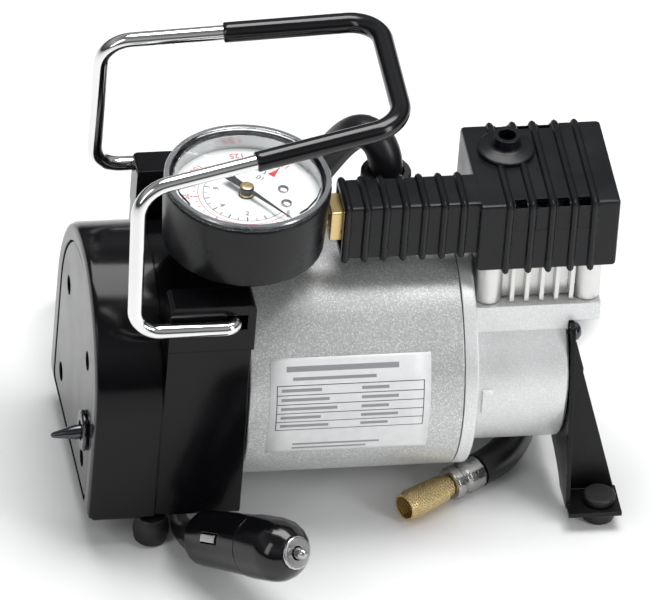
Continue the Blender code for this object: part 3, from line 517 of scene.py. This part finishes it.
def hose_route():
    """Up out of the boot, over, down the far side and round under the motor to the chuck."""
    bend = [(HOSE_BEND[0] + HOSE_BEND_R * math.cos(a), HOSE_BEND[1] + HOSE_BEND_R * math.sin(a),
             HOSE_FLOOR) for a in (math.radians(90 - 20 * k) for k in range(7))]
    route = [HOSE_EXIT, (98.0, 7.0, 66.0), (97.2, 7.5, 74.0), (91.5, 12.0, 79.4),
             (86.2, 19.0, 70.0), (82.4, 26.0, 56.8), (79.0, 36.0, 40.0), (77.0, 44.0, 22.0),
             (76.5, 48.0, 4.0), (77.5, 48.5, -14.0), (81.0, 47.5, -29.0), (88.0, 45.5, -39.0),
             (98.0, 43.5, -41.6), (110.0, 41.5, HOSE_FLOOR)]
    return route + bend + [(143.6, -7.8, HOSE_FLOOR), (140.4, -12.1, -41.8), (136.35, -15.35, -41.75),
                           (131.32, -18.57, -41.75)]


def coil_steps():
    """The winding as steps of (turned angle in degrees, place across from the inner turn, layer).

    The layers are wound inwards and outwards by turns. Between two steps at the same place the
    cord runs round; between two that differ it crosses to the next turn or climbs a layer.
    """
    steps = [(0, 4.22, 0), (50, 3, 0)]
    for layer in range(COIL_LAYERS):
        start = FIRST_LAYER_ANGLE + LAYER_ANGLE * layer
        for turn in range(LAYER_TURNS):
            across = turn if layer % 2 else LAYER_TURNS - 1 - turn
            climbs = turn == LAYER_TURNS - 1 and layer < COIL_LAYERS - 1
            begin = start + 360 * turn - (CROSSING if turn else 0)
            end = start + 360 * turn + 240 - (CROSSING if climbs else 0)
            if layer or turn:
                steps.append((begin, across, layer))
            steps.append((end, across, layer))
    top = COIL_LAYERS - 1
    return steps + [(5460, OUTSIDE, top), (5480, OUTSIDE, top), (5635, OUTSIDE, 0),
                    (5651.8, OUTSIDE, 0)]


def coil_turns():
    """Points along the wound length, a point about every 12 degrees."""
    steps = coil_steps()
    points = []
    for (start, across, layer), (end, next_across, next_layer) in zip(steps, steps[1:]):
        count = max(1, round((end - start) / 12))
        for k in range(count):
            share = k / count
            ease = share * share * (3 - 2 * share)
            radius = COIL_INNER + COIL_STEP * (across + (next_across - across) * ease)
            angle = math.radians(COIL_ENTRY - start - (end - start) * share)
            height = CORD_FLOOR + COIL_RISE * (layer + (next_layer - layer) * ease)
            points.append((COIL[0] + radius * math.cos(angle), COIL[1] + radius * math.sin(angle),
                           height))
    return points


def cord_route():
    """From the gland to the coil, through it, and back under the housing to the plug."""
    feed = [CORD_EXIT, (10.0, 71.5, -24.1), (10.1, 77.0, -26.3), (12.0, 83.5, -33.5),
            (17.5, 89.5, -41.5), (28.0, 95.0, CORD_FLOOR + 0.3), (43.0, 99.5, CORD_FLOOR),
            (62.0, 102.0, CORD_FLOOR), (82.0, 106.0, CORD_FLOOR), (100.0, 109.5, CORD_FLOOR),
            (113.0, 112.9, CORD_FLOOR)]
    lead = [(113.8, 53.4, CORD_FLOOR), (106.0, 59.5, CORD_FLOOR), (97.0, 63.0, CORD_FLOOR),
            (85.0, 64.0, CORD_FLOOR), (70.0, 61.5, CORD_FLOOR), (55.0, 56.0, CORD_FLOOR),
            (43.0, 46.0, CORD_FLOOR), (36.5, 33.0, CORD_FLOOR), (33.0, 18.0, CORD_FLOOR),
            (31.2, 0.0, CORD_FLOOR), (30.6, -16.0, CORD_FLOOR), (30.4, -27.0, CORD_FLOOR + 0.2),
            (30.3, -33.6, CORD_FLOOR + 0.8)]
    return feed + coil_turns() + lead


def make_cords():
    route = eased(smooth_path(hose_route(), 2.5), 12)
    hose = tube_piece("air_hose", route, HOSE_R, "pump", LOOKS["hose_rubber"], 8)
    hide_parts("hose")
    route = eased(smooth_path(cord_route(), 3.0), 2)
    cord = tube_piece("power_cord", route, CORD_R, "pump", LOOKS["cord_black"], 4)
    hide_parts("power_cord_feed", "power_cord_lead", "cord_coil")


# Frame nodes


def dress_nodes():
    """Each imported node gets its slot's look, welded and rounded edges, and even shading."""
    slots = {row["node"]: row["material_slot"] for row in frame["record"]["subparts"]}
    special = {"chuck_body": KNURLED, "hose_ferrule": CRIMPED, "crankcase": FLAKED_CASTING}
    for name in ("toggle_lever", "switch_bezel", "bracket_screw_near", "bracket_screw_far"):
        special[name] = DARK_PLATE
    rounding = {"rear_housing": 0.6, "rear_panel": 0.5, "motor_tube": 0.5, "crankcase": 0.6,
                "brass_tee": 0.5, "plug_contact": 0.2, "plug_body": 0.25, "cylinder": 0.3,
                "switch_bezel": 0.2, "foot_bracket": 0.3}
    for name, node in NODES.items():
        mesh = node.data
        if "custom_normal" in mesh.attributes:
            mesh.attributes.remove(mesh.attributes["custom_normal"])
        for edge_name in ("sharp_edge", "sharp_face"):
            if edge_name in mesh.attributes:
                mesh.attributes.remove(mesh.attributes[edge_name])
        mesh.shade_smooth()
        mesh.materials.clear()
        mesh.materials.append(special.get(name, LOOKS[slots[name]]))
        weld = node.modifiers.new("weld", "WELD")
        weld.merge_threshold = 2e-6
        flat = node.modifiers.new("flat_faces", "DECIMATE")
        flat.decimate_type = "DISSOLVE"
        flat.angle_limit = math.radians(0.5)
        bevel = node.modifiers.new("round_edges", "BEVEL")
        bevel.width = rounding.get(name, 0.15) * MM
        bevel.segments = 2
        bevel.limit_method = "ANGLE"
        bevel.angle_limit = math.radians(37.0)
        bevel.use_clamp_overlap = True
        normals = node.modifiers.new("even_normals", "WEIGHTED_NORMAL")
        normals.keep_sharp = True


# The handle


WIRE_R = 2.5
GRIP_R = 3.4
GRIP_LIP = 2.5
GRIP_SIDES = 24


def make_handle():
    """The bent chrome wire, and the vinyl grip that covers its bar and part of both arms."""
    near = [(42.2, -35.0, 43.2), (42.2, -44.2, 43.2), (8.6, -44.2, 43.2), (7.5, -39.5, 97.5),
            (95.5, -27.5, 110.7)]
    far = [(x, -y, z) for x, y, z in near][::-1]
    bends = (4.0, 9.0, 11.0, 12.0)
    wire = tube_piece("handle_rod", rounded_path(near + far, bends + bends[::-1]), WIRE_R,
                      "handle", LOOKS["chrome"], 8)
    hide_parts("handle_wire")
    elbow, bar = Vector(near[3]), Vector(near[4])
    start = elbow.lerp(bar, 0.44)
    corners = [start, bar, Vector(far[0]), Vector((start.x, -start.y, start.z))]
    outline = [(0.0, 2.62), (0.05, 3.15), (0.4, GRIP_R), (1.6, GRIP_R)]
    path = rounded_path(corners, (12.0, 12.0), 16)
    grip = sleeve("grip_sleeve", path, outline)
    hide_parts("handle_grip")


def frames(points):
    """(point, side, up) along a path, carried without twist."""
    directions = []
    for k in range(len(points)):
        ahead = points[min(k + 1, len(points) - 1)]
        behind = points[max(k - 1, 0)]
        directions.append((ahead - behind).normalized())
    side = directions[0].orthogonal().normalized()
    made = []
    for point, direction in zip(points, directions):
        side = (side - direction * side.dot(direction)).normalized()
        made.append((point, side, direction.cross(side)))
    return made


def sleeve(name, path, end_outline):
    """A thick-walled sleeve along a path with rounded lips at both ends."""
    length = 0.0
    places = [(0.0, path[0])]
    for a, b in zip(path, path[1:]):
        length += (b - a).length
        places.append((length, b))

    def point_at(walked):
        for (low, a), (high, b) in zip(places, places[1:]):
            if walked <= high:
                return a.lerp(b, (walked - low) / max(high - low, 1e-9))
        return places[-1][1]

    stations = list(end_outline)
    stations += [(walked, GRIP_R) for walked, _ in places if GRIP_LIP < walked < length - GRIP_LIP]
    stations += [(length - along, radius) for along, radius in reversed(end_outline)]
    rings = frames([point_at(walked) for walked, _ in stations])
    vertices = []
    for (point, side, up), (_, radius) in zip(rings, stations):
        for k in range(GRIP_SIDES):
            a = math.tau * k / GRIP_SIDES
            vertices.append(point + radius * (math.cos(a) * side + math.sin(a) * up))
    faces = []
    for row in range(len(rings) - 1):
        for k in range(GRIP_SIDES):
            a, b = row * GRIP_SIDES + k, row * GRIP_SIDES + (k + 1) % GRIP_SIDES
            faces.append((a, b, b + GRIP_SIDES, a + GRIP_SIDES))
    return mesh_piece(name, vertices, faces, LOOKS["grip_vinyl"], "handle")


# The sticker


def make_label():
    """A thin curved sheet on the near side of the motor tube."""
    columns, rows = 8, 32
    radius = TUBE_R + 0.12
    low, high = math.radians(-19.2), math.radians(32.4)
    left, right = 56.0, 109.0
    vertices = []
    for row in range(rows + 1):
        angle = low + (high - low) * row / rows
        for column in range(columns + 1):
            x = left + (right - left) * column / columns
            vertices.append((x, -radius * math.cos(angle), radius * math.sin(angle)))
    wide = columns + 1
    faces = [(r * wide + c, r * wide + c + 1, (r + 1) * wide + c + 1, (r + 1) * wide + c)
             for r in range(rows) for c in range(columns)]
    label = mesh_piece("tube_label", vertices, faces, LABEL, "pump")
    layer = label.data.uv_layers.new(name="UVMap")
    for loop in label.data.loops:
        row, column = divmod(loop.vertex_index, wide)
        layer.data[loop.index].uv = (column / columns, row / rows)
    thick = label.modifiers.new("paper", "SOLIDIFY")
    thick.thickness = 0.08 * MM
    thick.offset = -1.0


# The dial


ARC_STEPS = 72
RING_STEPS = 64
OUTER_NUMBERS = (25, 50, 75, 100, 125, 150)
INNER_NUMBERS = (2, 4, 6, 8, 10)


def circle(centre, radius, height, steps):
    """Points of a level circle."""
    turns = (math.tau * k / steps for k in range(steps))
    return [(centre[0] + radius * math.cos(a), centre[1] + radius * math.sin(a), height)
            for a in turns]


def dial_point(radius, angle, height):
    """A point over the dial, height above its face."""
    a = math.radians(angle)
    return (GAUGE[0] + radius * math.cos(a), GAUGE[1] + radius * math.sin(a),
            DIAL_TOP + height)


def scale_angle(value):
    """The angle on the dial of a value on its outer scale."""
    return ZERO_ANGLE - FULL_TURN * value / FULL_SCALE


class Print:
    """Flat printed marks that become one mesh."""

    def __init__(self):
        self.vertices = []
        self.faces = []

    def add(self, corners):
        first = len(self.vertices)
        self.vertices += corners
        self.faces.append(tuple(range(first, first + len(corners))))

    def tick(self, value, inner, outer, half_width):
        angle = scale_angle(value)
        spread_in = math.degrees(half_width / inner)
        spread_out = math.degrees(half_width / outer)
        self.add([dial_point(inner, angle - spread_in, INK_LIFT),
                  dial_point(outer, angle - spread_out, INK_LIFT),
                  dial_point(outer, angle + spread_out, INK_LIFT),
                  dial_point(inner, angle + spread_in, INK_LIFT)])

    def arc(self, start, end, inner, outer):
        for k in range(ARC_STEPS):
            a = scale_angle(start + (end - start) * k / ARC_STEPS)
            b = scale_angle(start + (end - start) * (k + 1) / ARC_STEPS)
            self.add([dial_point(inner, a, INK_LIFT), dial_point(inner, b, INK_LIFT),
                      dial_point(outer, b, INK_LIFT), dial_point(outer, a, INK_LIFT)])

    def dot(self, radius, value, size):
        x, y, z = dial_point(radius, scale_angle(value), INK_LIFT)
        self.add([(x + size * math.cos(a), y + size * math.sin(a), z)
                  for a in (math.tau * k / 12 for k in range(12))])


def make_number(name, text, radius, value, size, look):
    """A dial number whose foot points outwards."""
    data = bpy.data.curves.new(name, "FONT")
    data.body = text
    data.size = size * MM
    data.align_x = "CENTER"
    data.align_y = "CENTER"
    data.extrude = 0.015 * MM
    data.resolution_u = 3
    data.materials.append(look)
    piece = bpy.data.objects.new(name, data)
    bpy.context.scene.collection.objects.link(piece)
    angle = scale_angle(value)
    piece.matrix_world = (Matrix.Translation(at(*dial_point(radius, angle, 0.05)))
                          @ Matrix.Rotation(math.radians(angle + 90.0), 4, "Z"))
    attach(piece, "pump")


def lathe(name, profile, centre, look, steps=20, body="pump"):
    """A round piece about a vertical axis: profile is (height, radius) from top to bottom."""
    vertices, faces = [], []
    for height, radius in profile:
        vertices += circle(centre, radius, height, steps)
    for row in range(len(profile) - 1):
        for k in range(steps):
            a, b = row * steps + k, row * steps + (k + 1) % steps
            faces.append((a, a + steps, b + steps, b))
    faces.append(tuple(range(steps)))
    last = (len(profile) - 1) * steps
    faces.append(tuple(reversed(range(last, last + steps))))
    piece = mesh_piece(name, vertices, faces, look, body)
    piece.data.set_sharp_from_angle(angle=math.radians(40.0))
    return piece


def ring(name, profile, look):
    """A ring about the gauge's axis: profile is a closed outline of (height, radius)."""
    vertices, faces = [], []
    for height, radius in profile:
        vertices += circle(GAUGE, radius, height, RING_STEPS)
    whole = len(vertices)
    for row in range(len(profile)):
        for k in range(RING_STEPS):
            a, b = row * RING_STEPS + k, row * RING_STEPS + (k + 1) % RING_STEPS
            faces.append((a, b, (b + RING_STEPS) % whole, (a + RING_STEPS) % whole))
    piece = mesh_piece(name, vertices, faces, look, "pump")
    piece.data.set_sharp_from_angle(angle=math.radians(35.0))


def make_dial():
    """Scales, numbers, screws, stop pin, needle bush and cap, and the rings round the dial."""
    red, black = Print(), Print()
    for value in range(0, 151, 5):
        red.tick(value, 16.6 if value % 25 else 15.9, 17.6, 0.13 if value % 25 else 0.2)
    red.arc(0, 150, 15.7, 15.9)
    for value in OUTER_NUMBERS:
        black.dot(18.1, value, 0.35)
    for half in range(0, 21):
        value = half * 0.5 * INNER_UNIT
        black.tick(value, 12.7 if half % 2 else 12.2, 14.0, 0.12 if half % 2 else 0.2)
    black.arc(0, 145, 14.0, 14.2)
    red.add([dial_point(radius, angle, 0.05) for radius, angle in ((17.6, 44), (13.2, 50),
                                                                   (13.2, 38))])
    mesh_piece("dial_red_marks", red.vertices, red.faces, RED_INK, "pump", False)
    mesh_piece("dial_black_marks", black.vertices, black.faces, BLACK_INK, "pump",
               False)
    for value in OUTER_NUMBERS:
        make_number(f"dial_outer_{value}", str(value), 20.2, value, 3.4, RED_INK)
    for number in INNER_NUMBERS:
        make_number(f"dial_inner_{number}", str(number), 10.2, number * INNER_UNIT, 3.0,
                    BLACK_INK)
    x, y = GAUGE
    for k, (dx, dy) in enumerate(((12.3, 1.5), (12.2, -5.9))):
        lathe(f"dial_screw_{k + 1}", [(73.3, 0.5), (73.15, 1.2), (72.8, 1.75), (72.25, 1.8)],
              (x + dx, y + dy), LOOKS["steel"])
    lathe("dial_stop_pin", [(74.3, 0.35), (74.2, 0.5), (72.25, 0.5)], (x + 11.7, y - 12.2),
          LOOKS["steel"], 12)
    lathe("dial_bush", [(73.2, 1.5), (73.0, 2.2), (72.3, 2.3)], (x, y), LOOKS["brass"])
    ring("dial_wall", [(77.4, 24.5), (77.4, 24.15), (72.3, 24.15), (72.3, 24.5)], LOOKS["steel"])
    ring("lens_rim", [(79.35, 25.4), (79.85, 25.6), (79.85, 27.0), (79.35, 27.25)], RIM)
    lathe("needle_cap", [(75.85, 1.1), (75.8, 1.9), (75.65, 2.2)], (x, y), LOOKS["brass"],
          24, "needle")


def make_coil_tie():
    """A flat band round the coil's turns."""
    angle = math.radians(150.0)
    inner, outer = 16.5, 37.5
    low, high = GROUND + 0.35, GROUND + 20.7
    path = rounded_path([(inner + 4, 0, low), (inner, 0, low), (inner, 0, high), (outer, 0, high),
                         (outer, 0, low), (inner + 4.1, 0, low)], (2.0, 2.0, 2.0, 2.0), 6)
    vertices, faces = [], []
    for radius, _, height in path:
        for shift in (-2.0, 2.0):
            vertices.append((COIL[0] + radius * math.cos(angle) - shift * math.sin(angle),
                             COIL[1] + radius * math.sin(angle) + shift * math.cos(angle), height))
    for k in range(len(path) - 1):
        faces.append((2 * k, 2 * k + 1, 2 * k + 3, 2 * k + 2))
    tie = mesh_piece("coil_tie", vertices, faces, LOOKS["cord_black"], "pump")
    thick = tie.modifiers.new("band", "SOLIDIFY")
    thick.thickness = 0.35 * MM
    thick.offset = 0.0


make_camera()
make_cords()
make_studio()
dress_nodes()
make_handle()
make_label()
make_dial()
make_coil_tie()
